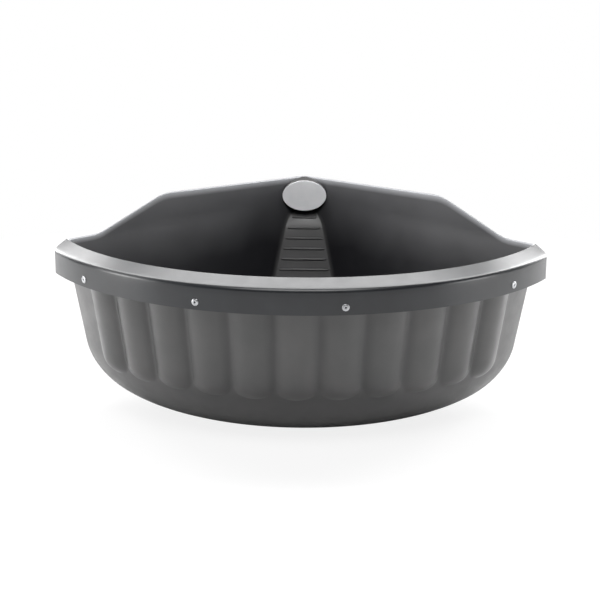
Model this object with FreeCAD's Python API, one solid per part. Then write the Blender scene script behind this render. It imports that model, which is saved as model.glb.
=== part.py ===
import FreeCAD, Part
import math
import os

# Corner feed tub for a stable: a moulded rubber basin with a bowed, lobed front and two straight back walls,
# a steel guard riveted over the front rim, and an oval plate in the corner.
# Millimetres. X runs to the right seen from the front, Y towards the stable corner, Z up.
# The pieces are drawn about the vertical axis of the bow, then moved so that the origin is the middle of the
# footprint, on the base.

# Basin
bow_radius = 363.0          # inside of the front wall, at the rim
corner_distance = 157.0     # from the axis of the bow back to the inside corner, at the rim
rim_height = 242.0          # top of the front rim above the base
wall_thickness = 6.0
bow_draft = 9.5             # degrees
wall_draft = 5.4            # degrees
foot_radius = 97.0          # outside, between the walls and the base
end_radius = 14.0           # outside, where a straight wall meets the bow
steady_half_angle = 39.0    # degrees each way from the front over which the bow stays a cone
corner_radius = 14.0        # outside, where the straight walls meet

# Raised back edge
knee_half_width = 286.0     # where the edge leaves the rim
shoulder_half_width = 203.5
shoulder_rise = 43.5
corner_rise = 34.0
edge_blend = 40.0           # radius at the knees and shoulders
crest_blend = 90.0          # radius over the corner

# Lobes of the front wall
lobe_count = 11
lobe_pitch = 9.5            # degrees about the axis of the bow
lobe_rise = 8.0
lobe_foot = 73.0            # lower end of a lobe above the base
lobe_end = 24.0             # length over which a lobe runs out
lobe_valley = 3.0           # width of the valley between lobes
lobe_blunt_end = 0.85       # where a lobe's end stops getting narrower, as a part of its run-out
end_steps = 2
foot_steps = 4

# Tilted web across the inside corner, with raised beads
web_lean = 19.0             # degrees
web_shoulder_drop = 45.0    # below the rim, where the straight web starts to curl back
web_shoulder_reach = 37.0   # in front of the corner
web_curl_radius = 70.0
bead_rise = 1.6
bead_half_width = 1.8
bead_count = 11
bead_pitch = 15.7
first_bead_drop = 27.4      # below the rim
bead_margin = 4.0           # from a bead's end to the side of the web

# Oval plate and the boss behind it
plate_width = 69.0
plate_height = 48.0
plate_thickness = 1.2
plate_rise = 9.2            # middle of the plate above the rim
boss_reach = 35.0           # face of the boss in front of the corner
boss_border = 0.8

# Guard over the front rim, and the rim under it
guard_thickness = 2.0
guard_overhang = 22.0       # from the inside of the rim out to the skirt
guard_fall = 11.0           # slope of the top face
skirt_height = 32.5
fold_radius = 6.0
guard_end_radius = 12.0     # outside, where the skirt turns onto the end
guard_clearance = 0.3
flange_drop = 17.0          # flat underside of the rim's flange, below the rim
rim_thickness = 4.0
lip_setback = 3.0           # from the guard's lower edge up to the lip of the rim

# Blind rivets through the skirt and the lip
rivet_angles = {"far_left": -48.0, "left": -19.4, "right": 9.2, "far_right": 47.8}   # degrees from the front
rivet_edge = 10.0           # above the lower edge of the skirt
rivet_radius = 2.4
rivet_head_radius = 4.75
rivet_head_height = 1.3
rivet_bulb_radius = 3.4
rivet_bulb_length = 2.6
stem_radius = 1.2
stem_drop = 0.6             # from the top of the head down to the stem's broken end
rivet_clearance = 0.05
seat_clearance = 0.02

root_two = math.sqrt(2.0)
slope_of_bow = math.tan(math.radians(bow_draft))
slope_of_wall = math.tan(math.radians(wall_draft))
slope_of_guard = guard_fall / guard_overhang
foot_start = rim_height - foot_radius
outer_corner = corner_distance + wall_thickness * root_two
skirt_radius = bow_radius + guard_overhang
skirt_bottom = rim_height - guard_fall - skirt_height
rim_inset = guard_thickness + guard_clearance
lip_inset = rim_inset + rim_thickness
flange_bottom = rim_height - flange_drop
top = rim_height + max(shoulder_rise, corner_rise) + wall_thickness
far = 2.0 * (bow_radius + corner_distance)
web_offset = wall_thickness / math.cos(math.radians(web_lean))
back_edge = outer_corner - corner_radius * (root_two - 1.0)
footprint_middle = (back_edge - skirt_radius) / 2.0


def vector(x, y, z):
    return FreeCAD.Vector(x, y, z)


def arc(start, middle, end):
    return Part.Arc(start, middle, end).toShape()


def face_of(edges):
    return Part.Face(Part.Wire(edges))


def around(centre, radius, angle):
    return centre + vector(radius * math.cos(angle), radius * math.sin(angle), 0)


def path_edges(points, radii):
    # Straight runs through the points, rounded at each inner point that has a radius.
    edges = []
    start = points[0]
    for before, corner, after in zip(points, points[1:], points[2:]):
        back = (before - corner).normalize()
        ahead = (after - corner).normalize()
        half_turn = (math.pi - back.getAngle(ahead)) / 2.0
        radius = radii.get(points.index(corner), 0.0)
        if radius == 0.0:
            edges.append(Part.makeLine(start, corner))
            start = corner
            continue
        cut = radius * math.tan(half_turn)
        leave = corner + back * cut
        arrive = corner + ahead * cut
        inward = (back + ahead).normalize()
        middle = corner + inward * (radius / math.cos(half_turn) - radius)
        edges.append(Part.makeLine(start, leave))
        edges.append(arc(leave, middle, arrive))
        start = arrive
    edges.append(Part.makeLine(start, points[-1]))
    return edges


def closed_face(points, radii=None):
    edges = path_edges(points, radii or {})
    edges.append(Part.makeLine(points[-1], points[0]))
    return face_of(edges)


def ring(inner, outer, bottom, height):
    return Part.makeCylinder(outer, height, vector(0, 0, bottom)).cut(
        Part.makeCylinder(inner, height, vector(0, 0, bottom)))


# Basin

def foot_inset(depth, radius):
    # How far the rounded foot draws a wall in, at a depth below the rim.
    below = max(0.0, depth - foot_start)
    return radius - math.sqrt(max(0.0, radius ** 2 - below ** 2))


def wall_end(bow, corner, end, height):
    # Centre of the arc where a straight wall meets the bow, and the angle at which that arc leaves the bow.
    chord = corner - end * root_two
    end_x = (chord + math.sqrt(2.0 * (bow - end) ** 2 - chord ** 2)) / 2.0
    centre = vector(end_x, chord - end_x, height)
    return centre, math.atan2(centre.y, centre.x)


def plan_outline(bow_arcs, bow, corner, end, back, height):
    # The bow's arcs from left to right, an arc at each end, two straight walls at 45 degrees, a corner arc.
    axis = vector(0, 0, height)
    wall_angle = math.pi / 4.0
    back_centre = vector(0, corner - back * root_two, height)
    end_centre, end_angle = wall_end(bow, corner, end, height)
    wall_start = around(back_centre, back, wall_angle)
    wall_finish = around(end_centre, end, wall_angle)
    end_middle = around(end_centre, end, (wall_angle + end_angle) / 2.0)
    right = [
        arc(around(axis, bow, end_angle), end_middle, wall_finish),
        Part.makeLine(wall_finish, wall_start),
    ]
    left = [edge.mirror(axis, vector(1, 0, 0)) for edge in reversed(right)]
    back_arc = arc(wall_start, around(back_centre, back, math.pi / 2.0), vector(-wall_start.x, wall_start.y, height))
    return Part.Wire(bow_arcs + right + [back_arc] + left)


def bow_arcs_through(bow, height, angles):
    axis = vector(0, 0, height)
    return [arc(around(axis, bow, start), around(axis, bow, (start + finish) / 2.0), around(axis, bow, finish))
            for start, finish in zip(angles, angles[1:])]


def plain_bow(bow, corner, end, height):
    # The middle of the bow keeps its angles at all heights, so only its ends are skewed.
    end_angle = wall_end(bow, corner, end, height)[1]
    front = -math.pi / 2.0
    steady = math.radians(steady_half_angle)
    return bow_arcs_through(bow, height, [2.0 * front - end_angle, front - steady, front, front + steady, end_angle])


def lobe_run_out(height):
    # 0 along a lobe, rising to 1 where its lower end has run out into the foot.
    return min(1.0, max(lobe_foot + lobe_end - height, 0.0) / lobe_end)


def lobed_bow(bow, corner, end, height):
    # A lobe's end is an ellipse seen from the front, and rounded seen from the side.
    axis = vector(0, 0, height)
    end_angle = wall_end(bow, corner, end, height)[1]
    run_out = lobe_run_out(height)
    rise = lobe_rise * (1.0 - run_out ** 2)
    breadth = math.sqrt(1.0 - min(run_out, lobe_blunt_end) ** 2)
    half_angle = math.radians(lobe_pitch) / 2.0 * breadth - lobe_valley / 2.0 / bow
    first = -math.pi / 2.0 - math.radians(lobe_pitch) * (lobe_count - 1) / 2.0
    edges = []
    last_angle = -math.pi - end_angle
    for index in range(lobe_count):
        crest = first + index * math.radians(lobe_pitch)
        start = crest - half_angle
        finish = crest + half_angle
        edges += bow_arcs_through(bow, height, [last_angle, start])
        edges.append(arc(around(axis, bow, start), around(axis, bow + rise, crest), around(axis, bow, finish)))
        last_angle = finish
    return edges + bow_arcs_through(bow, height, [last_angle, end_angle])


def basin_outline(height, inset, lobed):
    depth = rim_height - height
    foot = foot_inset(depth, foot_radius - inset)
    bow = bow_radius + wall_thickness - inset - depth * slope_of_bow - foot
    corner = outer_corner - root_two * (inset + depth * slope_of_wall + foot)
    end = end_radius - inset
    bow_arcs = lobed_bow(bow, corner, end, height) if lobed else plain_bow(bow, corner, end, height)
    return plan_outline(bow_arcs, bow, corner, end, corner_radius - inset, height)


def foot_heights(start, floor, count):
    # Heights at even angles round the foot, from a start down to the floor.
    radius = foot_radius - floor
    first = math.asin((foot_radius - start) / radius)
    angles = [first + (math.pi / 2.0 - first) * index / count for index in range(count + 1)]
    return [foot_radius - radius * math.sin(angle) for angle in angles]


def loft(outlines):
    return Part.makeLoft(outlines, True, True)


def basin_outside():
    # In ruled strips: plain inside the flange, then lobed down to where the lobes have run out, then plain.
    ends = [lobe_foot + lobe_end * (1.0 - math.sin(math.pi / 2.0 * index / end_steps))
            for index in range(end_steps + 1)]
    rim = [basin_outline(height, 0.0, False) for height in (rim_height, flange_bottom)]
    walls = [basin_outline(height, 0.0, True) for height in [flange_bottom] + ends]
    foot = [basin_outline(height, 0.0, False) for height in foot_heights(lobe_foot, 0.0, foot_steps)]
    return loft(rim).fuse([loft(walls), loft(foot)])


def plain_basin(inset):
    heights = [rim_height + inset, ledge_height] + foot_heights(foot_radius, inset, foot_steps)
    return loft([basin_outline(height, inset, False) for height in heights])


# Web across the corner

def corner_at(height):
    # Inside corner of the straight walls, before its foot.
    return corner_distance - (rim_height - height) * slope_of_wall * root_two


def web_curl_centre():
    lean = math.radians(web_lean)
    return vector(0, corner_distance - web_shoulder_reach + web_curl_radius * math.cos(lean),
                  rim_height - web_shoulder_drop - web_curl_radius * math.sin(lean))


def web_front(height):
    # Distance of the web's face along Y: a straight lean below the shoulder, an arc above it.
    below = rim_height - web_shoulder_drop - height
    if below >= 0.0:
        return corner_distance - web_shoulder_reach - below * math.tan(math.radians(web_lean))
    centre = web_curl_centre()
    return centre.y - math.sqrt(web_curl_radius ** 2 - (height - centre.z) ** 2)


def behind_web(offset):
    # Everything behind the web's face, moved back by an offset.
    centre = web_curl_centre()
    curl_top = math.acos((centre.y - corner_distance) / web_curl_radius)
    curl_middle = (curl_top + math.radians(web_lean)) / 2.0

    def on_curl(angle):
        return centre + vector(0, -web_curl_radius * math.cos(angle), web_curl_radius * math.sin(angle))

    start = on_curl(curl_top)
    shoulder = on_curl(math.radians(web_lean))
    foot = vector(0, web_front(-foot_radius), -foot_radius)
    edges = [
        arc(start, on_curl(curl_middle), shoulder),
        Part.makeLine(shoulder, foot),
        Part.makeLine(foot, vector(0, far, foot.z)),
        Part.makeLine(vector(0, far, foot.z), vector(0, far, start.z)),
        Part.makeLine(vector(0, far, start.z), start),
    ]
    block = face_of(edges).extrude(vector(2.0 * far, 0, 0))
    block.translate(vector(-far, offset, 0))
    return block


def web_beads():
    # Ridges across the web, each with two flat flanks.
    beads = []
    for index in range(bead_count):
        height = rim_height - first_bead_drop - index * bead_pitch
        foot = foot_inset(rim_height - height, foot_radius - wall_thickness)
        front = web_front(height)
        half_length = corner_at(height) - root_two * foot - front - bead_margin
        ridge = closed_face([
            vector(-half_length, front + wall_thickness / 2.0, height + bead_half_width),
            vector(-half_length, web_front(height + bead_half_width), height + bead_half_width),
            vector(-half_length, front - bead_rise, height),
            vector(-half_length, web_front(height - bead_half_width), height - bead_half_width),
            vector(-half_length, front + wall_thickness / 2.0, height - bead_half_width),
        ])
        beads.append(ridge.extrude(vector(2.0 * half_length, 0, 0)))
    return beads


# Back edge, boss and plate

def corner_wedge(inset, bottom, height):
    # Upright wedge between the straight walls, set in from their outside.
    corner = outer_corner - inset * root_two
    radius = corner_radius - inset
    points = [
        vector(-far, corner - far, bottom),
        vector(0, corner, bottom),
        vector(far, corner - far, bottom),
    ]
    return closed_face(points, {1: radius}).extrude(vector(0, 0, height))


def raised_edge():
    height = top - rim_height
    boards = corner_wedge(0.0, rim_height, height).cut(corner_wedge(wall_thickness, rim_height, height))
    points = [
        vector(-far, -far, rim_height),
        vector(-knee_half_width, -far, rim_height),
        vector(-shoulder_half_width, -far, rim_height + shoulder_rise),
        vector(0, -far, rim_height + corner_rise),
        vector(shoulder_half_width, -far, rim_height + shoulder_rise),
        vector(knee_half_width, -far, rim_height),
        vector(far, -far, rim_height),
        vector(far, -far, top + wall_thickness),
        vector(-far, -far, top + wall_thickness),
    ]
    blends = {1: edge_blend, 2: edge_blend, 3: crest_blend, 4: edge_blend, 5: edge_blend}
    return boards.cut(closed_face(points, blends).extrude(vector(0, 2.0 * far, 0)))


def oval(width, height, start, end):
    # Upright oval slab between two distances along Y.
    centre = vector(0, start, rim_height + plate_rise)
    ellipse = Part.Ellipse(centre + vector(width / 2.0, 0, 0), centre + vector(0, 0, height / 2.0), centre)
    return face_of([ellipse.toShape()]).extrude(vector(0, end - start, 0))


def plate_boss():
    face = corner_distance - boss_reach
    block = oval(plate_width + 2.0 * boss_border, plate_height + 2.0 * boss_border, face, outer_corner)
    return block.common(corner_wedge(wall_thickness / 2.0, 0.0, top))


def corner_plate():
    face = corner_distance - boss_reach
    return oval(plate_width, plate_height, face - plate_thickness, face)


# Guard and rim

def guard_height(radius, inset):
    # Sloping top of the guard, or of what lies an inset below it.
    return rim_height - (radius - bow_radius) * slope_of_guard - inset * math.hypot(1.0, slope_of_guard)


# Narrow level top of the bow's wall, under the inner edge of the guard
ledge_height = guard_height(bow_radius, rim_inset)


def guard_outline(inset, bottom):
    bow = skirt_radius - inset
    corner = outer_corner - inset * root_two
    end = guard_end_radius - inset
    return Part.Face(plan_outline(plain_bow(bow, corner, end, bottom), bow, corner, end, corner_radius, bottom))


def guard_envelope(inset, bottom, fold):
    # Solid under the guard's outside, set in by an inset: sloping top, fold, skirt, and rounded ends.
    bow = skirt_radius - inset
    section = closed_face([
        vector(0, 0, bottom),
        vector(0, 0, guard_height(0.0, inset)),
        vector(bow, 0, guard_height(bow, inset)),
        vector(bow, 0, bottom),
    ], {2: fold})
    ends = guard_outline(inset, bottom).extrude(vector(0, 0, far))
    return section.revolve(vector(0, 0, 0), vector(0, 0, 1), 360.0).common(ends)


def rim_guard():
    outside = guard_envelope(0.0, skirt_bottom, fold_radius)
    inside = guard_envelope(guard_thickness, skirt_bottom - guard_thickness, 0.0)
    core = Part.makeCylinder(bow_radius, far, vector(0, 0, 0))
    return outside.cut([core, inside])


def turned_rim():
    # Flange and lip of the basin that the guard covers.
    lip_bottom = skirt_bottom + lip_setback
    outside = guard_envelope(rim_inset, lip_bottom, 0.0)
    below = lip_bottom - rim_thickness
    hollow = guard_outline(lip_inset, below).extrude(vector(0, 0, flange_bottom - below))
    wall = bow_radius - flange_drop * slope_of_bow + wall_thickness / 2.0
    return outside.cut([hollow, Part.makeCylinder(wall, far, vector(0, 0, 0))])


def room_for_guard():
    # What the guard and its clearance take from the basin: the top of the bow, and the ends of the back walls.
    inner = bow_radius - 2.0 * wall_thickness
    slope = closed_face([
        vector(inner, 0, ledge_height),
        vector(bow_radius, 0, ledge_height),
        vector(far, 0, guard_height(far, rim_inset)),
        vector(far, 0, far),
        vector(inner, 0, far),
    ]).revolve(vector(0, 0, 0), vector(0, 0, 1), 360.0)
    bottom = skirt_bottom - guard_clearance
    band = ring(bow_radius - guard_clearance, far, bottom, top - bottom)
    return [slope, band.cut(corner_wedge(rim_inset, bottom, top))]


# Rivets, drawn along -Y at the front of the bow, then turned into place

def rivet_profile(points):
    return closed_face(points).revolve(vector(0, 0, 0), vector(0, 1, 0), 360.0)


def set_rivet(shape, angle):
    shape.translate(vector(0, -skirt_radius, skirt_bottom + rivet_edge))
    shape.rotate(vector(0, 0, 0), vector(0, 0, 1), angle)
    return shape


lip_inside = skirt_radius - lip_inset
bulb_sag = rivet_bulb_radius ** 2 / (2.0 * lip_inside)
bulb_start = lip_inset + bulb_sag + seat_clearance
bulb_end = bulb_start + rivet_bulb_length
head_seat = -seat_clearance
head_top = head_seat - rivet_head_height


def rivet_body():
    bore = stem_radius + rivet_clearance
    return rivet_profile([
        vector(bore, head_top, 0),
        vector(rivet_head_radius, head_top, 0),
        vector(rivet_head_radius, head_seat, 0),
        vector(rivet_radius, head_seat, 0),
        vector(rivet_radius, bulb_start, 0),
        vector(rivet_bulb_radius, bulb_start, 0),
        vector(rivet_bulb_radius, bulb_end, 0),
        vector(bore, bulb_end, 0),
    ])


def rivet_stem():
    broken_end = head_top + stem_drop
    return Part.makeCylinder(stem_radius, bulb_end - broken_end, vector(0, broken_end, 0), vector(0, 1, 0))


def rivet_holes():
    holes = []
    for angle in rivet_angles.values():
        hole = Part.makeCylinder(rivet_radius + rivet_clearance, lip_inset + 2.0 * wall_thickness,
                                 vector(0, -wall_thickness, 0), vector(0, 1, 0))
        holes.append(set_rivet(hole, angle))
    return holes


# Whole tub

def web_plate():
    # The web itself, one wall thick, where it lies inside the basin.
    return behind_web(0.0).cut(behind_web(web_offset)).common(plain_basin(0.0))


def tub_shell():
    basin = basin_outside().cut([plain_basin(wall_thickness), behind_web(web_offset)])
    basin = basin.fuse([web_plate(), raised_edge(), plate_boss(), turned_rim()] + web_beads())
    return basin.cut(room_for_guard() + rivet_holes())


def main():
    os.makedirs("parts", exist_ok=True)
    parts = {
        "tub_shell": tub_shell(),
        "rim_guard": rim_guard().cut(rivet_holes()),
        "corner_plate": corner_plate(),
    }
    for place, angle in rivet_angles.items():
        parts["guard_rivet_" + place] = set_rivet(rivet_body(), angle)
        parts["rivet_stem_" + place] = set_rivet(rivet_stem(), angle)
    for name, shape in parts.items():
        shape.translate(vector(0, -footprint_middle, 0))
        shape.exportStep("parts/" + name + ".step")
        box = shape.BoundBox
        print(name, shape.isValid(), len(shape.Solids), len(shape.Faces), round(shape.Volume),
              [round(value, 1) for value in (box.XMin, box.XMax, box.YMin, box.YMax, box.ZMin, box.ZMax)])


main()
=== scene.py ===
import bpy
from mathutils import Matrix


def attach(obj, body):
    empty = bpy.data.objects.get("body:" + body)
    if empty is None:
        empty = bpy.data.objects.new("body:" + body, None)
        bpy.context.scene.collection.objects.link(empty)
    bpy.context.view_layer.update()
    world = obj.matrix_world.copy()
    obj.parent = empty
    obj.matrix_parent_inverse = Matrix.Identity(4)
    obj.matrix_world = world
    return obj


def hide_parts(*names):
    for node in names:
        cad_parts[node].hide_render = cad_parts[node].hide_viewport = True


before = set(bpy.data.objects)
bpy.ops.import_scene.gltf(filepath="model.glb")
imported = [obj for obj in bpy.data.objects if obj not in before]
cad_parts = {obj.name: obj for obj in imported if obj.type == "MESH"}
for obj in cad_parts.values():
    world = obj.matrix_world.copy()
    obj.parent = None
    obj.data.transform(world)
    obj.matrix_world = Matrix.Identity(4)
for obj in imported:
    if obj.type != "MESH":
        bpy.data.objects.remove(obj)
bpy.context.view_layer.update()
print("frame loaded:", len(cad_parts), "solids")

import math

import bmesh
import bpy
import numpy as np
from mathutils import Matrix, Vector

# Corner feed tub: a moulded rubber basin with a bowed, lobed front, a coated steel guard over its rim and
# a small plate in the corner. Metres, in the frame of the CAD part. Surfaces are worked out about the
# vertical axis of the bow, where angles count from the front, and moved by the middle of the footprint.

basin = {
    "bowRadius": 0.363,         # inside of the front wall, at the rim
    "cornerDistance": 0.157,    # from the axis of the bow to the inside corner, at the rim
    "rimHeight": 0.242,
    "wallThickness": 0.006,
    "bowDraft": 9.5,            # degrees
    "wallDraft": 5.4,
    "footRadius": 0.097,
    "endRadius": 0.014,
    "cornerRadius": 0.014,
    "edgeRounding": 0.0016,     # along the top of the walls
    "floorCentre": -0.115,
    "topDrop": 0.0001,          # keeps the walls inside the CAD piece
}

raisedEdge = {
    "kneeHalfWidth": 0.286,
    "shoulderHalfWidth": 0.2035,
    "shoulderRise": 0.0435,
    "cornerRise": 0.034,
    "blend": 0.040,
    "crestBlend": 0.090,
}

lobes = {
    "count": 11,
    "pitch": 9.5,               # degrees
    "rise": 0.008,
    "lowerEnd": 0.0695,         # above the base
    "roundedLength": 0.026,     # over which a lobe runs out at its lower end
    "bluntness": 3.5,           # power of the running out there
    "rowsAbove": 0.004,         # how far the finer rows reach past the rounded length
    "rowsBelow": 0.006,
    "valley": 0.0022,
    "softness": 0.05,           # of the crease, as a part of the rise
}

web = {
    "lean": 19.0,
    "shoulderDrop": 0.045,
    "shoulderReach": 0.037,
    "curlRadius": 0.070,
    "beadCount": 11,
    "beadPitch": 0.0157,
    "firstBeadDrop": 0.0274,
    "beadMargin": 0.004,
    "beadHalfWidth": 0.0019,
    "beadRise": 0.0016,
    "beadBluntness": 10,        # power of the rounding of its ends
}

plate = {
    "width": 0.069,
    "height": 0.048,
    "thickness": 0.0012,
    "rise": 0.0092,             # middle of the plate above the rim
    "bossReach": 0.035,
    "bossInset": 0.003,         # of the boss's back from the inside corner
    "bossBorder": 0.0008,
    "bossRounding": 0.0007,
    "edgeRounding": 0.0004,
}

guard = {
    "thickness": 0.002,
    "overhang": 0.022,
    "fall": 0.011,
    "skirtHeight": 0.0325,
    "foldRadius": 0.006,
    "endFoldRadius": 0.0045,
    "endRadius": 0.012,
    "clearance": 0.0003,
    "flangeDrop": 0.017,
    "rimThickness": 0.004,
    "rimFoldRadius": 0.0005,
    "lipSetback": 0.003,
}

rivets = {
    "angles": {"far_left": -48.0, "left": -19.4, "right": 9.2, "far_right": 47.8},
    "edge": 0.010,
    "headRadius": 0.00475,
    "headHeight": 0.0013,
    "rimPart": 0.25,            # of the head's height that its outer edge has
    "crownRadius": 0.0021,
    "shankRadius": 0.0024,
    "shankReach": 0.0098,       # behind the skirt, to the formed end
    "formedEnd": ((0.00285, 0.0), (0.0033, 0.0003), (0.0034, 0.0025), (0.0024, 0.0026)),
    "stemRadius": 0.0012,
    "stemDrop": 0.0006,
    "stemLength": 0.0006,
    "stemBevel": 0.0001,
    "boreFlare": 0.0003,
    "boreDepth": 0.0004,        # below the tip of the stem
    "seat": 0.00002,
}

detail = {
    "columnsPerLobe": 26,
    "lobedShare": 0.92,         # of the bow that the lobes' columns may take, which narrows at the base
    "bowEndColumns": 12,
    "endArcColumns": 9,
    "wallColumns": 46,
    "backColumns": 16,
    "footRows": 16,
    "lobeEndRows": 26,
    "wallRows": 22,
    "edgeRows": 5,
    "cornerPoints": 13,         # along each rounded corner of the boards' outline
    "floorRings": (0.9, 0.65, 0.35),
    "beadRows": 39,
    "beadSides": 12,
    "ovalColumns": 120,
    "ovalEdgeRows": 7,
    "ovalRings": (0.9, 0.6, 0.3),
    "guardColumns": 240,
    "guardEndPoints": 6,        # along the guard's straight ends
    "guardTurnPoints": 12,      # round its outer corners
    "skirtRows": (0.25, 0.5, 0.75),
    "foldRows": 8,
    "topRows": 7,
    "rivetSides": 48,
    "domeRows": 9,
}

rootTwo = math.sqrt(2.0)
bowSlope = math.tan(math.radians(basin["bowDraft"]))
wallSlope = math.tan(math.radians(basin["wallDraft"]))
outerCorner = basin["cornerDistance"] + basin["wallThickness"] * rootTwo
skirtRadius = basin["bowRadius"] + guard["overhang"]
skirtBottom = basin["rimHeight"] - guard["fall"] - guard["skirtHeight"]
guardSlope = guard["fall"] / guard["overhang"]
backEdge = outerCorner - basin["cornerRadius"] * (rootTwo - 1.0)
footprintMiddle = (backEdge - skirtRadius) / 2.0
rimInset = guard["thickness"] + guard["clearance"]
webOffset = basin["wallThickness"] / math.cos(math.radians(web["lean"]))
lobedReach = math.radians(lobes["pitch"]) * lobes["count"] / 2.0


def guardHeight(radius, inset):
    return (basin["rimHeight"] - (radius - basin["bowRadius"]) * guardSlope
            - inset * math.hypot(1.0, guardSlope))


ledgeHeight = guardHeight(basin["bowRadius"], rimInset)
flangeBottom = basin["rimHeight"] - guard["flangeDrop"]


# Meshes

def newObject(name, vertices, faces, body="root"):
    mesh = bpy.data.meshes.new(name)
    moved = np.asarray(vertices, float).reshape(-1, 3) - np.array([0.0, footprintMiddle, 0.0])
    mesh.from_pydata(moved.tolist(), [], faces)
    work = bmesh.new()
    work.from_mesh(mesh)
    bmesh.ops.recalc_face_normals(work, faces=work.faces)
    work.to_mesh(mesh)
    work.free()
    mesh.polygons.foreach_set("use_smooth", [True] * len(mesh.polygons))
    item = bpy.data.objects.new(name, mesh)
    bpy.context.scene.collection.objects.link(item)
    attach(item, body)
    return item


def mark(item, name, values):
    # Stores a value on each vertex for the materials to read.
    layer = item.data.attributes.new(name, "FLOAT", "POINT")
    layer.data.foreach_set("value", np.broadcast_to(values, len(item.data.vertices)).astype(np.float32))


def gridFaces(rows, columns, closedRows=False, closedColumns=False):
    faces = []
    for row in range(rows if closedRows else rows - 1):
        below = (row + 1) % rows
        for column in range(columns if closedColumns else columns - 1):
            beside = (column + 1) % columns
            faces.append((row * columns + column, row * columns + beside,
                          below * columns + beside, below * columns + column))
    return faces


def sharpen(item, degrees):
    item.data.set_sharp_from_angle(angle=math.radians(degrees))


def smoothStep(value):
    value = np.clip(value, 0.0, 1.0)
    return value * value * (3.0 - 2.0 * value)


# Basin

def footInset(depth, radius):
    below = np.maximum(0.0, depth - (basin["rimHeight"] - basin["footRadius"]))
    return radius - np.sqrt(np.maximum(0.0, radius ** 2 - below ** 2))


def lobeHeight(angle, height):
    # Side by side lobes: a level of one, less the square of the part across and less a power of the part past
    # the lower end, with a soft crease where it falls below nothing.
    pitch = math.radians(lobes["pitch"])
    first = -pitch * (lobes["count"] - 1) / 2.0
    nearest = np.clip(np.round((angle - first) / pitch), 0, lobes["count"] - 1)
    half = pitch / 2.0 - lobes["valley"] / 2.0 / basin["bowRadius"]
    across = (angle - first - nearest * pitch) / half
    along = np.maximum(0.0, lobes["lowerEnd"] + lobes["roundedLength"] - height) / lobes["roundedLength"]
    level = 1.0 - across ** 2 - along ** lobes["bluntness"]
    raised = (level + np.sqrt(level ** 2 + lobes["softness"] ** 2)) / 2.0
    under = 1.0 - smoothStep((height - flangeBottom) / 0.001)
    return lobes["rise"] * np.minimum(raised, 1.0) * under


def webFront(height):
    below = basin["rimHeight"] - web["shoulderDrop"] - height
    lean = math.radians(web["lean"])
    straight = basin["cornerDistance"] - web["shoulderReach"] - below * math.tan(lean)
    centreY = basin["cornerDistance"] - web["shoulderReach"] + web["curlRadius"] * math.cos(lean)
    centreZ = basin["rimHeight"] - web["shoulderDrop"] - web["curlRadius"] * math.sin(lean)
    over = np.clip(height - centreZ, 0.0, web["curlRadius"] * 0.999)
    curled = centreY - np.sqrt(web["curlRadius"] ** 2 - over ** 2)
    return np.where(below >= 0.0, straight, curled)


def planPoint(zone, part, height, inset, lobed):
    # Right half of the plan at a height: bow, end arc, straight wall and back arc, each by a part of 0 to 1.
    # The bow ends where a circle of the end radius touches both the bow and the straight wall.
    depth = np.maximum(0.0, basin["rimHeight"] - height)
    foot = footInset(depth, basin["footRadius"] - inset)
    bow = basin["bowRadius"] + basin["wallThickness"] - inset - depth * bowSlope - foot
    corner = outerCorner - rootTwo * (inset + depth * wallSlope + foot)
    end = basin["endRadius"] - inset
    back = basin["cornerRadius"] - inset
    chord = corner - end * rootTwo
    endX = (chord + np.sqrt(2.0 * (bow - end) ** 2 - chord ** 2)) / 2.0
    endY = chord - endX
    endAngle = math.pi / 2.0 + np.arctan2(endY, endX)
    lobedHalf = np.minimum(lobedReach, detail["lobedShare"] * endAngle)
    lobedPart = lobes["count"] * detail["columnsPerLobe"] / 2.0
    lobedPart = lobedPart / (lobedPart + detail["bowEndColumns"])
    angle = np.where(part < lobedPart, lobedHalf * part / lobedPart,
                     lobedHalf + (endAngle - lobedHalf) * (part - lobedPart) / (1.0 - lobedPart))
    radius = bow + (lobeHeight(angle, height) if lobed else 0.0)
    turn = (endAngle - math.pi / 2.0) * (1.0 - part) + math.pi / 4.0 * part
    wallX = endX + end / rootTwo
    wallY = endY + end / rootTwo
    backY = corner - back * rootTwo
    webFace = webFront(height) + (webOffset if lobed else 0.0)
    reach = np.maximum(corner - webFace, back / rootTwo)
    farX = reach * (1.0 - part)
    arcY = backY + np.sqrt(np.maximum(back ** 2 - np.minimum(farX, back / rootTwo) ** 2, 0.0))
    farY = np.minimum(np.where(farX < back / rootTwo, arcY, corner - farX), webFace)
    straightX = wallX + (reach - wallX) * part
    straightY = wallY - (straightX - wallX)
    zones = [zone == 0, zone == 1, zone == 2]
    x = np.select(zones, [radius * np.sin(angle), endX + end * np.cos(turn), straightX], farX)
    y = np.select(zones, [-radius * np.cos(angle), endY + end * np.sin(turn), straightY], farY)
    return x, y


def halfColumns():
    counts = [lobes["count"] * detail["columnsPerLobe"] // 2 + detail["bowEndColumns"],
              detail["endArcColumns"], detail["wallColumns"], detail["backColumns"]]
    zones = np.concatenate([np.full(count, zone) for zone, count in enumerate(counts)] + [[3]])
    parts = np.concatenate([np.arange(count) / count for count in counts] + [[1.0]])
    return zones, parts


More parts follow.
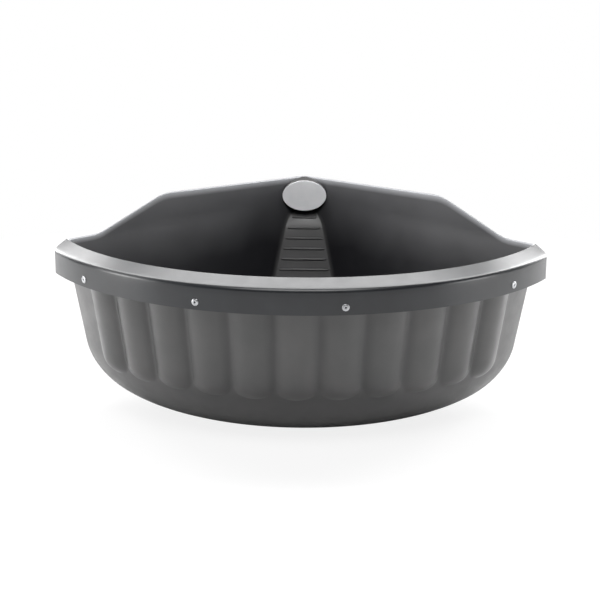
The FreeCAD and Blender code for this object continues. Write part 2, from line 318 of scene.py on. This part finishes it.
def roundedLine(points, radii):
    # Points along a line with rounded corners.
    line = [np.array(points[0])]
    for before, corner, after, radius in zip(points, points[1:], points[2:], radii):
        before, corner, after = np.array(before), np.array(corner), np.array(after)
        back = (before - corner) / np.linalg.norm(before - corner)
        ahead = (after - corner) / np.linalg.norm(after - corner)
        halfTurn = (math.pi - math.acos(np.clip(back @ ahead, -1.0, 1.0))) / 2.0
        cut = radius * math.tan(halfTurn)
        inward = (back + ahead) / np.linalg.norm(back + ahead)
        centre = corner + inward * radius / math.cos(halfTurn)
        start = corner + back * cut - centre
        for step in np.linspace(0.0, 1.0, detail["cornerPoints"]):
            spoke = start * (1.0 - step) + (corner + ahead * cut - centre) * step
            line.append(centre + spoke / np.linalg.norm(spoke) * radius)
    line.append(np.array(points[-1]))
    return np.array(line)


def edgeHeight(x, radius):
    # Top of the wall: the raised boards behind, the level rim at the knees, and a ledge under the guard.
    rim = basin["rimHeight"]
    line = roundedLine([
        (-raisedEdge["shoulderHalfWidth"], rim + raisedEdge["shoulderRise"]),
        (0.0, rim + raisedEdge["cornerRise"]),
        (raisedEdge["shoulderHalfWidth"], rim + raisedEdge["shoulderRise"]),
        (raisedEdge["kneeHalfWidth"], rim),
        (basin["bowRadius"], rim),
    ], [raisedEdge["crestBlend"], raisedEdge["blend"], raisedEdge["blend"]])
    board = np.interp(np.abs(x), line[:, 0], line[:, 1]) - basin["topDrop"]
    covered = smoothStep((radius - basin["bowRadius"] + 0.002) / 0.002)
    ledge = np.minimum(ledgeHeight, guardHeight(radius, rimInset)) - basin["topDrop"]
    return board * (1.0 - covered) + ledge * covered


def skin(zones, parts, inset, lobed, offset):
    # Rows of one side of the wall, from its top, lowered by an offset, down to the middle of the floor.
    radius = basin["footRadius"] - inset
    rimX, rimY = planPoint(zones, parts, basin["rimHeight"] + 0.0 * parts, inset + 0.0 * parts, lobed)
    top = edgeHeight(rimX, np.hypot(rimX, rimY)) - offset
    endTop = lobes["lowerEnd"] + lobes["roundedLength"] + lobes["rowsAbove"]
    endBottom = lobes["lowerEnd"] - lobes["rowsBelow"]
    wall = np.linspace(0.0, 1.0, detail["wallRows"], endpoint=False)[:, None]
    rows = [top[None, :] * (1.0 - wall) + endTop * wall]
    rows.append(np.repeat(np.linspace(endTop, endBottom, detail["lobeEndRows"], endpoint=False)[:, None],
                          len(parts), 1))
    first = math.asin((basin["footRadius"] - endBottom) / radius)
    angles = np.linspace(first, math.pi / 2.0, detail["footRows"])[:, None]
    rows.append(np.repeat(basin["footRadius"] - radius * np.sin(angles), len(parts), 1))
    height = np.concatenate(rows)
    x, y = planPoint(zones[None, :], parts[None, :], height, inset + 0.0 * height, lobed)
    return x, y, height


def mirrored(x, y, z):
    # Adds the left half to a grid of the right half.
    left = slice(-2, 0, -1)
    return (np.hstack([x, -x[:, left]]), np.hstack([y, y[:, left]]), np.hstack([z, z[:, left]]))


def floorRings(x, y, z):
    # Rings that close a skin towards the middle of the floor.
    middle = basin["floorCentre"]
    return [np.stack([x[-1] * shrink, middle + (y[-1] - middle) * shrink, z[-1]], 1)
            for shrink in detail["floorRings"]]


def buildTub():
    zones, parts = halfColumns()
    thickness = basin["wallThickness"]
    rounding = basin["edgeRounding"]
    outer = mirrored(*skin(zones, parts, 0.0, True, rounding))
    inner = mirrored(*skin(zones, parts, thickness, False, rounding))
    columns = outer[0].shape[1]
    edge = []
    turns = np.linspace(0.0, math.pi / 2.0, detail["edgeRows"] + 1)[1:]
    outTop = np.stack([outer[0][0], outer[1][0]], 1)
    inTop = np.stack([inner[0][0], inner[1][0]], 1)
    across = inTop - outTop
    width = np.linalg.norm(across, axis=1)[:, None]
    direction = across / width
    reach = np.minimum(rounding, width * 0.45)
    for turn in turns:
        plan = outTop + direction * reach * (1.0 - math.cos(turn))
        edge.append(np.column_stack([plan, outer[2][0] + rounding * math.sin(turn)]))
    for turn in turns[::-1]:
        plan = inTop - direction * reach * (1.0 - math.cos(turn))
        edge.append(np.column_stack([plan, inner[2][0] + rounding * math.sin(turn)]))
    outRings = floorRings(*outer)
    inRings = floorRings(*inner)
    outRows = list(np.stack(outer, 2))
    rows = outRings[::-1] + outRows[::-1] + edge + list(np.stack(inner, 2)) + inRings
    vertices = np.vstack(rows)
    faces = gridFaces(len(rows), columns, closedColumns=True)
    first = len(vertices)
    poles = np.array([[0.0, basin["floorCentre"], 0.0], [0.0, basin["floorCentre"], thickness]])
    vertices = np.vstack([vertices, poles])
    last = (len(rows) - 1) * columns
    faces += [(first, column, (column + 1) % columns) for column in range(columns)]
    faces += [(first + 1, last + (column + 1) % columns, last + column) for column in range(columns)]
    item = newObject("tubWalls", vertices, faces)
    outsideRows = len(outRings) + len(outRows) + len(turns)
    inside = np.arange(len(vertices)) >= outsideRows * columns
    # The inside walls, and the web in part, carry painted shade low down and painted sheen higher up.
    onWeb = np.abs(vertices[:, 1] - webFront(vertices[:, 2])) < 0.0001
    mark(item, "inside", np.where(inside, np.where(onWeb, 0.35, 1.0), 0.0))
    # Painted shade: the crease mark darkens the valleys between the lobes and the lower band under their
    # ends, outside only.
    angle = np.arctan2(vertices[:, 0], -vertices[:, 1])
    ridge = lobeHeight(angle, vertices[:, 2]) / lobes["rise"]
    lobed = (np.abs(angle) < lobedReach) & (vertices[:, 2] < flangeBottom)
    ends = smoothStep((vertices[:, 2] - lobes["lowerEnd"]) / lobes["roundedLength"])
    below = np.where(inside, 0.0, 0.75 * (1.0 - ends))
    mark(item, "creaseShade", np.where(lobed, np.maximum((1.0 - ridge) * ends, below), below))
    # Rows over the top of the walls, which get a painted highlight.
    edgeRows = np.arange(len(vertices)) // columns - len(outRings) - len(outRows)
    mark(item, "edge", np.where((edgeRows >= -1) & (edgeRows <= len(edge)), 1.0, 0.0))
    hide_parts("tub_shell")
    return item


def buildBeads():
    # Half round ribs across the web, with rounded ends.
    vertices = []
    faces = []
    along = np.linspace(-1.0, 1.0, detail["beadRows"] + 2)[1:-1]
    turns = np.linspace(0.0, 2.0 * math.pi, detail["beadSides"], endpoint=False)
    taper = np.sqrt(1.0 - np.abs(along) ** web["beadBluntness"])
    for index in range(web["beadCount"]):
        height = basin["rimHeight"] - web["firstBeadDrop"] - index * web["beadPitch"]
        front = float(webFront(np.array(height)))
        tilt = float(webFront(np.array(height + 0.001)) - webFront(np.array(height - 0.001))) / 0.002
        up = np.array([0.0, tilt, 1.0]) / math.hypot(1.0, tilt)
        out = np.array([0.0, -1.0, tilt]) / math.hypot(1.0, tilt)
        depth = basin["rimHeight"] - height
        foot = float(footInset(np.array(depth), basin["footRadius"] - basin["wallThickness"]))
        corner = basin["cornerDistance"] - rootTwo * (depth * wallSlope + foot)
        halfLength = corner - front - web["beadMargin"]
        start = len(vertices)
        for place, size in zip(along, taper):
            middle = np.array([place * halfLength, front, height])
            for turn in turns:
                vertices.append(middle + up * web["beadHalfWidth"] * size * math.cos(turn)
                                + out * web["beadRise"] * size * math.sin(turn))
        faces += [tuple(start + corner for corner in face)
                  for face in gridFaces(len(along), len(turns), closedColumns=True)]
        vertices += [np.array([-halfLength, front, height]), np.array([halfLength, front, height])]
        left, right = len(vertices) - 2, len(vertices) - 1
        end = start + (len(along) - 1) * len(turns)
        for step in range(len(turns)):
            after = (step + 1) % len(turns)
            faces.append((left, start + after, start + step))
            faces.append((right, end + step, end + after))
    item = newObject("webBeads", vertices, faces)
    # The beads take part of the painted shade and sheen of the inside.
    mark(item, "inside", 0.35)
    return item


def ovalSlab(name, width, height, front, back, rounding):
    # Upright oval slab with a rounded front edge.
    turns = np.linspace(0.0, 2.0 * math.pi, detail["ovalColumns"], endpoint=False)
    middle = basin["rimHeight"] + plate["rise"]
    rows = []
    profile = [(1.0, back)] + [
        (1.0 - rounding * (1.0 - math.cos(turn)) / (width / 2.0), front + rounding * (1.0 - math.sin(turn)))
        for turn in np.linspace(0.0, math.pi / 2.0, detail["ovalEdgeRows"])]
    for scale, depth in profile:
        rows.append(np.stack([width / 2.0 * scale * np.cos(turns), np.full(len(turns), depth),
                              middle + height / 2.0 * scale * np.sin(turns)], 1))
    for scale in detail["ovalRings"]:
        inner = profile[-1][0] * scale
        rows.append(np.stack([width / 2.0 * inner * np.cos(turns), np.full(len(turns), front),
                              middle + height / 2.0 * inner * np.sin(turns)], 1))
    vertices = np.vstack(rows + [np.array([[0.0, front, middle], [0.0, back, middle]])])
    columns = len(turns)
    faces = gridFaces(len(rows), columns, closedColumns=True)
    last = (len(rows) - 1) * columns
    pole = len(vertices) - 2
    faces += [(pole, last + step, last + (step + 1) % columns) for step in range(columns)]
    faces += [(pole + 1, (step + 1) % columns, step) for step in range(columns)]
    item = newObject(name, vertices, faces)
    sharpen(item, 35.0)
    return item


def buildPlate():
    # Oval plate, and the boss of the tub that carries it.
    width, height, border = plate["width"], plate["height"], 2.0 * plate["bossBorder"]
    front = basin["cornerDistance"] - plate["bossReach"]
    back = basin["cornerDistance"] - plate["bossInset"]
    boss = ovalSlab("plateBoss", width + border, height + border, front, back, plate["bossRounding"])
    disc = ovalSlab("ovalPlate", width, height, front - plate["thickness"], front, plate["edgeRounding"])
    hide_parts("corner_plate")
    return boss, disc


# Guard and the rim under it

def guardPath(inset):
    # Plan of the guard's outside, set in, from the right end round the bow to the left end, the points on
    # the inner edge that lie opposite, and how far the wide fold has come in, from 0 at the ends to 1.
    bow = skirtRadius - inset
    corner = outerCorner - inset * rootTwo
    end = guard["endRadius"] - inset
    chord = corner - end * rootTwo
    endX = (chord + math.sqrt(2.0 * (bow - end) ** 2 - chord ** 2)) / 2.0
    endY = chord - endX
    endAngle = math.atan2(endY, endX)
    innerX = (corner + math.sqrt(2.0 * basin["bowRadius"] ** 2 - corner ** 2)) / 2.0
    innerAngle = math.atan2(corner - innerX, innerX)
    tangent = np.array([endX + end / rootTwo, endY + end / rootTwo])
    start = np.array([innerX, corner - innerX])
    ends, turns = detail["guardEndPoints"], detail["guardTurnPoints"]
    outer = [start + (tangent - start) * part for part in np.linspace(0.06, 0.94, ends)]
    for angle in np.linspace(math.pi / 4.0, endAngle, turns):
        outer.append(np.array([endX + end * math.cos(angle), endY + end * math.sin(angle)]))
    inner = [basin["bowRadius"] * np.array([math.cos(angle), math.sin(angle)])
             for angle in np.linspace(innerAngle, endAngle, ends + turns + 1)[:-1]]
    rounded = [0.0] * ends + list(np.linspace(0.0, 1.0, turns))
    for angle in np.linspace(endAngle, -math.pi / 2.0, detail["guardColumns"] // 2 + 1)[1:]:
        outer.append(bow * np.array([math.cos(angle), math.sin(angle)]))
        inner.append(basin["bowRadius"] * np.array([math.cos(angle), math.sin(angle)]))
        rounded.append(1.0)
    outer, inner, rounded = np.array(outer), np.array(inner), np.array(rounded)
    flip = np.array([-1.0, 1.0])
    return (np.vstack([outer, outer[-2::-1] * flip]), np.vstack([inner, inner[-2::-1] * flip]),
            np.concatenate([rounded, rounded[-2::-1]]))


def guardRows(inset, bottom, fold):
    # Rows up the skirt, round the fold and over the sloping top to the inner edge.
    outer, inner, rounded = guardPath(inset)
    run = inner - outer
    length = np.linalg.norm(run, axis=1)
    direction = run / length[:, None]
    outerTop = guardHeight(np.hypot(outer[:, 0], outer[:, 1]), inset)
    innerTop = guardHeight(np.hypot(inner[:, 0], inner[:, 1]), inset)
    slope = (innerTop - outerTop) / length
    radius = fold * rounded + min(fold, guard["endFoldRadius"]) * (1.0 - rounded)
    radius = np.minimum(radius, length * 0.4)
    centre = outerTop + slope * radius - radius * np.hypot(1.0, slope)
    rows = [np.column_stack([outer, np.full(len(outer), bottom)])]
    for part in detail["skirtRows"]:
        rows.append(np.column_stack([outer, bottom + (centre - bottom) * part]))
    last = math.pi / 2.0 + np.arctan(slope)
    for part in np.linspace(0.0, 1.0, detail["foldRows"]):
        angle = math.pi * (1.0 - part) + last * part
        reach = radius * (1.0 + np.cos(angle))
        rows.append(np.column_stack([outer + direction * reach[:, None], centre + radius * np.sin(angle)]))
    for part in np.linspace(0.0, 1.0, detail["topRows"])[1:]:
        through = reach + (length - reach) * part
        rows.append(np.column_stack([outer + direction * through[:, None], outerTop + slope * through]))
    return rows


def closedSweep(name, rows):
    columns = len(rows[0])
    faces = gridFaces(len(rows), columns, closedRows=True)
    faces.append(tuple(row * columns for row in range(len(rows))))
    faces.append(tuple(row * columns + columns - 1 for row in reversed(range(len(rows)))))
    item = newObject(name, np.vstack(rows), faces)
    sharpen(item, 35.0)
    return item


def buildGuard():
    outside = guardRows(0.0, skirtBottom, guard["foldRadius"])
    inside = guardRows(guard["thickness"], skirtBottom, guard["foldRadius"] - guard["thickness"])
    item = closedSweep("guardShell", outside + inside[::-1])
    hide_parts("rim_guard")
    return item


def buildFlange():
    bottom = skirtBottom + guard["lipSetback"]
    outside = guardRows(rimInset, bottom, guard["rimFoldRadius"])
    outer, inner, _ = guardPath(rimInset + guard["rimThickness"])
    inside = [np.column_stack([inner, np.full(len(inner), flangeBottom)]),
              np.column_stack([outer, np.full(len(outer), flangeBottom)]),
              np.column_stack([outer, np.full(len(outer), bottom)])]
    return closedSweep("rimFlange", outside + inside)


def turnedPiece(name, profile, angle, cadNode):
    # Turns a profile of radius and distance out from the skirt about a rivet's axis.
    turns = np.linspace(0.0, 2.0 * math.pi, detail["rivetSides"], endpoint=False)
    out = np.array([math.sin(math.radians(angle)), -math.cos(math.radians(angle)), 0.0])
    side = np.array([-out[1], out[0], 0.0])
    centre = out * skirtRadius + np.array([0.0, 0.0, skirtBottom + rivets["edge"]])
    rows = [centre + out * distance + (np.cos(turns)[:, None] * side
                                       + np.sin(turns)[:, None] * np.array([0.0, 0.0, 1.0])) * radius
            for radius, distance in profile]
    vertices = np.vstack(rows + [[centre + out * profile[0][1], centre + out * profile[-1][1]]])
    columns = len(turns)
    faces = gridFaces(len(rows), columns, closedColumns=True)
    last = (len(rows) - 1) * columns
    pole = len(vertices) - 2
    faces += [(pole, (step + 1) % columns, step) for step in range(columns)]
    faces += [(pole + 1, last + step, last + (step + 1) % columns) for step in range(columns)]
    item = newObject(name, vertices, faces)
    sharpen(item, 50.0)
    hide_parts(cadNode)
    return item


def buildRivet(place, angle):
    # Domed head with a bore, a shank with its formed end, and the broken stem low in the bore.
    head, seat = rivets["headHeight"], rivets["seat"]
    crown, edge = rivets["crownRadius"], rivets["headRadius"]
    stem, bevel = rivets["stemRadius"], rivets["stemBevel"]
    rim = rivets["rimPart"]
    tip = seat + head - rivets["stemDrop"]
    dome = [(crown + (edge - crown) * math.sin(turn), seat + head * (rim + (1.0 - rim) * math.cos(turn)))
            for turn in np.linspace(0.0, math.pi / 2.0, detail["domeRows"])]
    body = [(radius, ahead - rivets["shankReach"]) for radius, ahead in rivets["formedEnd"]]
    body += [(rivets["shankRadius"], seat), (edge, seat)] + dome[::-1]
    body += [(stem + rivets["boreFlare"], seat + head * 0.93), (stem + bevel, seat + head * 0.8),
             (stem + bevel, tip - rivets["boreDepth"])]
    turnedPiece("rivetBody_" + place, body, angle, "guard_rivet_" + place)
    pin = [(stem, tip - rivets["stemLength"]), (stem, tip - bevel), (stem * 0.85, tip)]
    pin += [(stem * 0.4, tip - bevel)]
    turnedPiece("rivetStem_" + place, pin, angle, "rivet_stem_" + place)


# Materials

def linear(hexCode):
    # Turns an sRGB hex value into a linear colour.
    values = [int(hexCode[start:start + 2], 16) / 255.0 for start in (1, 3, 5)]
    channels = [value / 12.92 if value <= 0.04045 else ((value + 0.055) / 1.055) ** 2.4 for value in values]
    return tuple(channels) + (1.0,)


def newMaterial(name):
    material = bpy.data.materials.new(name)
    material.use_nodes = True
    tree = material.node_tree
    tree.nodes.clear()
    output = tree.nodes.new("ShaderNodeOutputMaterial")
    shader = addNode(tree, "ShaderNodeBsdfPrincipled")
    tree.links.new(shader.outputs["BSDF"], output.inputs["Surface"])
    return material, tree, shader


def addNode(tree, kind, settings=None, values=None, links=None):
    # Adds a node with its settings, input values and incoming links.
    node = tree.nodes.new(kind)
    for key, value in (settings or {}).items():
        setattr(node, key, value)
    for key, value in (values or {}).items():
        node.inputs[key].default_value = value
    for key, source in (links or {}).items():
        tree.links.new(source, node.inputs[key])
    return node


def noise(tree, place, scale, octaves=3.0, roughness=0.5):
    values = {"Scale": scale, "Detail": octaves, "Roughness": roughness}
    return addNode(tree, "ShaderNodeTexNoise", values=values, links={"Vector": place}).outputs["Fac"]


def spread(tree, source, fromLow, fromHigh, toLow, toHigh):
    values = {"From Min": fromLow, "From Max": fromHigh, "To Min": toLow, "To Max": toHigh}
    return addNode(tree, "ShaderNodeMapRange", values=values, links={"Value": source}).outputs["Result"]


def mixColours(tree, source, first, second):
    # Mixes two colours, each a fixed one or another node's output.
    mix = addNode(tree, "ShaderNodeMix", {"data_type": "RGBA"}, links={"Factor": source})
    for socket, colour in ((mix.inputs[6], first), (mix.inputs[7], second)):
        if isinstance(colour, tuple):
            socket.default_value = colour
        else:
            tree.links.new(colour, socket)
    return mix.outputs[2]


def colourBetween(tree, source, first, second):
    return mixColours(tree, source, linear(first), linear(second))


def objectPlace(tree):
    return addNode(tree, "ShaderNodeTexCoord").outputs["Object"]


def bump(tree, height, strength, distance, normal=None):
    links = {"Height": height}
    if normal:
        links["Normal"] = normal
    return addNode(tree, "ShaderNodeBump", values={"Strength": strength, "Distance": distance},
                   links=links).outputs["Normal"]


def attribute(tree, name):
    return addNode(tree, "ShaderNodeAttribute", {"attribute_name": name}).outputs["Fac"]


rubber = {
    "outside": ("#3b3b3b", "#434242"),
    "creaseShadeColour": "#29292a",                   # painted shade between the lobes and on the lower band
    "insideShadeAndSheen": ("#1a1a1d", "#4b4b4d"),     # painted shade low down, painted sheen higher up, on the inside
    "insideShadeHeights": (0.175, 0.275),
    # painted highlight along the top of the walls
    "edgeHighlight": "#8a8b8e",
}


def mouldedRubber():
    # Dense moulded rubber: dark grey with faint cloudy patches, and a satin skin with a fine orange peel.
    # Dust greys the lobes; painted shade darkens the creases, the lower band and the inside low down, painted
    # sheen lightens the inside higher up, and a painted highlight lightens the top edge.
    # The clouds are about 70 mm across. The peel is about 2 mm, coarser than the real one, so that it shows.
    material, tree, shader = newMaterial("mouldedRubber")
    place = objectPlace(tree)
    cloud = spread(tree, noise(tree, place, 14.0, 4.0), 0.35, 0.65, 0.0, 1.0)
    outside = colourBetween(tree, cloud, rubber["outside"][0], rubber["outside"][1])
    # Painted shade on the inside low down, turning into painted sheen higher up along an uneven line.
    height = addNode(tree, "ShaderNodeSeparateXYZ", links={0: place}).outputs["Z"]
    uneven = spread(tree, noise(tree, place, 9.0, 2.0), 0.3, 0.7, -0.012, 0.012)
    shifted = addNode(tree, "ShaderNodeMath", {"operation": "ADD"}, links={0: height, 1: uneven}).outputs[0]
    insideShadeRamp = spread(tree, shifted, rubber["insideShadeHeights"][0], rubber["insideShadeHeights"][1], 0.0, 1.0)
    insideShadeAndSheen = colourBetween(tree, insideShadeRamp, rubber["insideShadeAndSheen"][0], rubber["insideShadeAndSheen"][1])
    # Painted shade in the valleys between the lobes and on the lower band.
    creaseShadeMask = spread(tree, attribute(tree, "creaseShade"), 0.35, 1.0, 0.0, 0.55)
    creaseShaded = mixColours(tree, creaseShadeMask, outside, linear(rubber["creaseShadeColour"]))
    walls = mixColours(tree, attribute(tree, "inside"), creaseShaded, insideShadeAndSheen)
    # Painted highlight along the top of the walls.
    edgeHighlighted = mixColours(tree, attribute(tree, "edge"), walls, linear(rubber["edgeHighlight"]))
    tree.links.new(edgeHighlighted, shader.inputs["Base Color"])
    handled = noise(tree, place, 45.0, 4.0, 0.6)
    tree.links.new(spread(tree, handled, 0.3, 0.7, 0.36, 0.46), shader.inputs["Roughness"])
    peel = bump(tree, noise(tree, place, 420.0, 2.0), 0.35, 0.00012)
    flow = bump(tree, noise(tree, place, 28.0, 2.0), 0.35, 0.0011, peel)
    tree.links.new(flow, shader.inputs["Normal"])
    return material


def coatedSteel():
    # Sheet steel with a dark grey powder coat: satin, with a very fine texture and faint clouds. The coat
    # hides the metal, so it isn't metallic. Its grain is drawn at about 1.5 mm, coarser than the real one.
    material, tree, shader = newMaterial("coatedSteel")
    place = objectPlace(tree)
    cloud = spread(tree, noise(tree, place, 22.0, 4.0), 0.35, 0.65, 0.0, 1.0)
    tree.links.new(colourBetween(tree, cloud, "#17181b", "#1d1f22"), shader.inputs["Base Color"])
    gloss = noise(tree, place, 60.0, 5.0, 0.6)
    tree.links.new(spread(tree, gloss, 0.3, 0.7, 0.28, 0.34), shader.inputs["Roughness"])
    tree.links.new(bump(tree, noise(tree, place, 700.0, 2.0), 0.2, 0.00005), shader.inputs["Normal"])
    return material


def plateAluminium():
    # Sheet aluminium with a pale matt finish: it scatters the light, so it looks even and isn't metallic.
    material, tree, shader = newMaterial("plateAluminium")
    place = objectPlace(tree)
    cloud = spread(tree, noise(tree, place, 60.0, 3.0), 0.35, 0.65, 0.0, 1.0)
    tree.links.new(colourBetween(tree, cloud, "#eeeff1", "#f4f4f6"), shader.inputs["Base Color"])
    gloss = noise(tree, place, 240.0, 3.0)
    tree.links.new(spread(tree, gloss, 0.3, 0.7, 0.38, 0.46), shader.inputs["Roughness"])
    tree.links.new(bump(tree, noise(tree, place, 1500.0, 2.0), 0.2, 0.00003), shader.inputs["Normal"])
    return material


def rivetAluminium():
    # Drawn aluminium of a blind rivet: dull metal, a little uneven from the tool that set it.
    material, tree, shader = newMaterial("rivetAluminium")
    place = objectPlace(tree)
    cloud = noise(tree, place, 500.0, 3.0)
    tree.links.new(colourBetween(tree, cloud, "#9a9b9d", "#b2b3b5"), shader.inputs["Base Color"])
    shader.inputs["Metallic"].default_value = 1.0
    tree.links.new(spread(tree, cloud, 0.3, 0.7, 0.32, 0.45), shader.inputs["Roughness"])
    return material


def brokenSteel():
    # Rough broken end of a steel stem.
    material, tree, shader = newMaterial("brokenSteel")
    place = objectPlace(tree)
    grain = noise(tree, place, 2500.0, 3.0)
    tree.links.new(colourBetween(tree, grain, "#2a2a2c", "#4a4a4c"), shader.inputs["Base Color"])
    shader.inputs["Metallic"].default_value = 1.0
    shader.inputs["Roughness"].default_value = 0.6
    tree.links.new(bump(tree, grain, 0.5, 0.0001), shader.inputs["Normal"])
    return material


# Stage, light and camera

stage = {
    "floorSize": 12.0,
    "floorDrop": 0.0005,
    "paper": 0.68,
    "paperReach": (0.55, 1.2),  # where the lit paper turns into an even white
    "shadowLift": 0.84,         # how far the camera sees the paper's shadow lightened
    "aim": (0.0, 0.0, 0.15),    # of all the lights
}

# Soft boxes: sizes and places in metres, powers in watts
lights = {
    "overLight": {"size": (3.6, 0.8), "place": (0.0, 0.6, 2.1), "power": 102.0},
    "frontLight": {"size": (1.6, 1.0), "place": (0.0, -1.3, 1.9), "power": 36.0},
    "leftLight": {"size": (0.8, 1.6), "place": (-2.2, -0.3, 1.0), "power": 14.0},
    "leftBackLight": {"size": (0.8, 1.6), "place": (-1.7, 1.4, 1.0), "power": 52.0},
    "rightBackLight": {"size": (0.8, 1.6), "place": (1.7, 1.4, 1.0), "power": 74.0},
    "leftLowLight": {"size": (0.6, 0.8), "place": (-2.0, -0.6, 0.3), "power": 19.0},
    "rightLowLight": {"size": (0.6, 0.8), "place": (2.0, -0.6, 0.3), "power": 14.0},
}

view = {
    "place": (0.0392, -1.9517, 0.6788),
    "yaw": 1.18,                # degrees
    "pitch": 15.313,
    "roll": 0.379,
    "focal": 84.33,             # millimetres, on a sensor 36 mm wide
}


def buildStage():
    # Floor of pale paper: lit round the object, and an even white further out.
    size, level = stage["floorSize"], -stage["floorDrop"]
    corners = [(-size, -size, level), (size, -size, level), (size, size, level), (-size, size, level)]
    mesh = bpy.data.meshes.new("floor")
    mesh.from_pydata(corners, [], [(0, 1, 2, 3)])
    floor = bpy.data.objects.new("floor", mesh)
    bpy.context.scene.collection.objects.link(floor)
    material = bpy.data.materials.new("floorPaper")
    material.use_nodes = True
    tree = material.node_tree
    tree.nodes.clear()
    output = tree.nodes.new("ShaderNodeOutputMaterial")
    place = objectPlace(tree)
    reach = addNode(tree, "ShaderNodeVectorMath", {"operation": "LENGTH"}, links={0: place}).outputs["Value"]
    away = spread(tree, reach, stage["paperReach"][0], stage["paperReach"][1], 0.0, 1.0)
    seen = addNode(tree, "ShaderNodeLightPath").outputs["Is Camera Ray"]
    bright = addNode(tree, "ShaderNodeMath", {"operation": "MAXIMUM"}, {1: stage["shadowLift"]}, {0: away})
    white = addNode(tree, "ShaderNodeMath", {"operation": "MULTIPLY"}, links={0: bright.outputs[0], 1: seen})
    paper = addNode(tree, "ShaderNodeBsdfDiffuse", values={"Color": (stage["paper"],) * 3 + (1.0,)})
    glow = addNode(tree, "ShaderNodeEmission", values={"Color": (1.0, 1.0, 1.0, 1.0), "Strength": 1.0})
    mixed = addNode(tree, "ShaderNodeMixShader", links={0: white.outputs[0], 1: paper.outputs["BSDF"],
                                                        2: glow.outputs["Emission"]})
    tree.links.new(mixed.outputs["Shader"], output.inputs["Surface"])
    mesh.materials.append(material)


def buildWorld():
    # White behind the object, and no light from it on the object.
    world = bpy.data.worlds.new("studioWorld")
    bpy.context.scene.world = world
    world.use_nodes = True
    tree = world.node_tree
    tree.nodes.clear()
    output = tree.nodes.new("ShaderNodeOutputWorld")
    path = addNode(tree, "ShaderNodeLightPath")
    background = addNode(tree, "ShaderNodeBackground", values={"Color": (1.0, 1.0, 1.0, 1.0)},
                         links={"Strength": path.outputs["Is Camera Ray"]})
    tree.links.new(background.outputs["Background"], output.inputs["Surface"])


def addLight(name, size, place, power):
    lamp = bpy.data.lights.new(name, "AREA")
    lamp.shape = "RECTANGLE"
    lamp.size, lamp.size_y = size
    lamp.energy = power
    item = bpy.data.objects.new(name, lamp)
    item.location = place
    item.rotation_euler = (Vector(stage["aim"]) - Vector(place)).to_track_quat("-Z", "Y").to_euler()
    bpy.context.scene.collection.objects.link(item)


def buildCamera():
    yaw, pitch, roll = (math.radians(view[key]) for key in ("yaw", "pitch", "roll"))
    forward = Vector((-math.sin(yaw) * math.cos(pitch), math.cos(yaw) * math.cos(pitch), -math.sin(pitch)))
    right = Vector((math.cos(yaw), math.sin(yaw), 0.0))
    up = right.cross(forward)
    across = right * math.cos(roll) + up * math.sin(roll)
    upward = up * math.cos(roll) - right * math.sin(roll)
    turn = Matrix((across, upward, -forward)).transposed().to_4x4()
    data = bpy.data.cameras.new("camera")
    data.lens = view["focal"]
    data.sensor_width = 36.0
    camera = bpy.data.objects.new("camera", data)
    camera.matrix_world = Matrix.Translation(view["place"]) @ turn
    bpy.context.scene.collection.objects.link(camera)
    bpy.context.scene.camera = camera


def main():
    tub = buildTub()
    beads = buildBeads()
    boss, disc = buildPlate()
    guardShell = buildGuard()
    flange = buildFlange()
    for place, angle in rivets["angles"].items():
        buildRivet(place, angle)
    print("pieces built")
    tubRubber = mouldedRubber()
    for item in (tub, beads, boss, flange):
        item.data.materials.append(tubRubber)
    guardShell.data.materials.append(coatedSteel())
    disc.data.materials.append(plateAluminium())
    rivetMetal, stemMetal = rivetAluminium(), brokenSteel()
    for place in rivets["angles"]:
        bpy.data.objects["rivetBody_" + place].data.materials.append(rivetMetal)
        bpy.data.objects["rivetStem_" + place].data.materials.append(stemMetal)
    print("materials set")
    buildStage()
    buildWorld()
    for name, settings in lights.items():
        addLight(name, **settings)
    buildCamera()
    bpy.context.scene.view_settings.view_transform = "Standard"
    print("scene ready")


main()
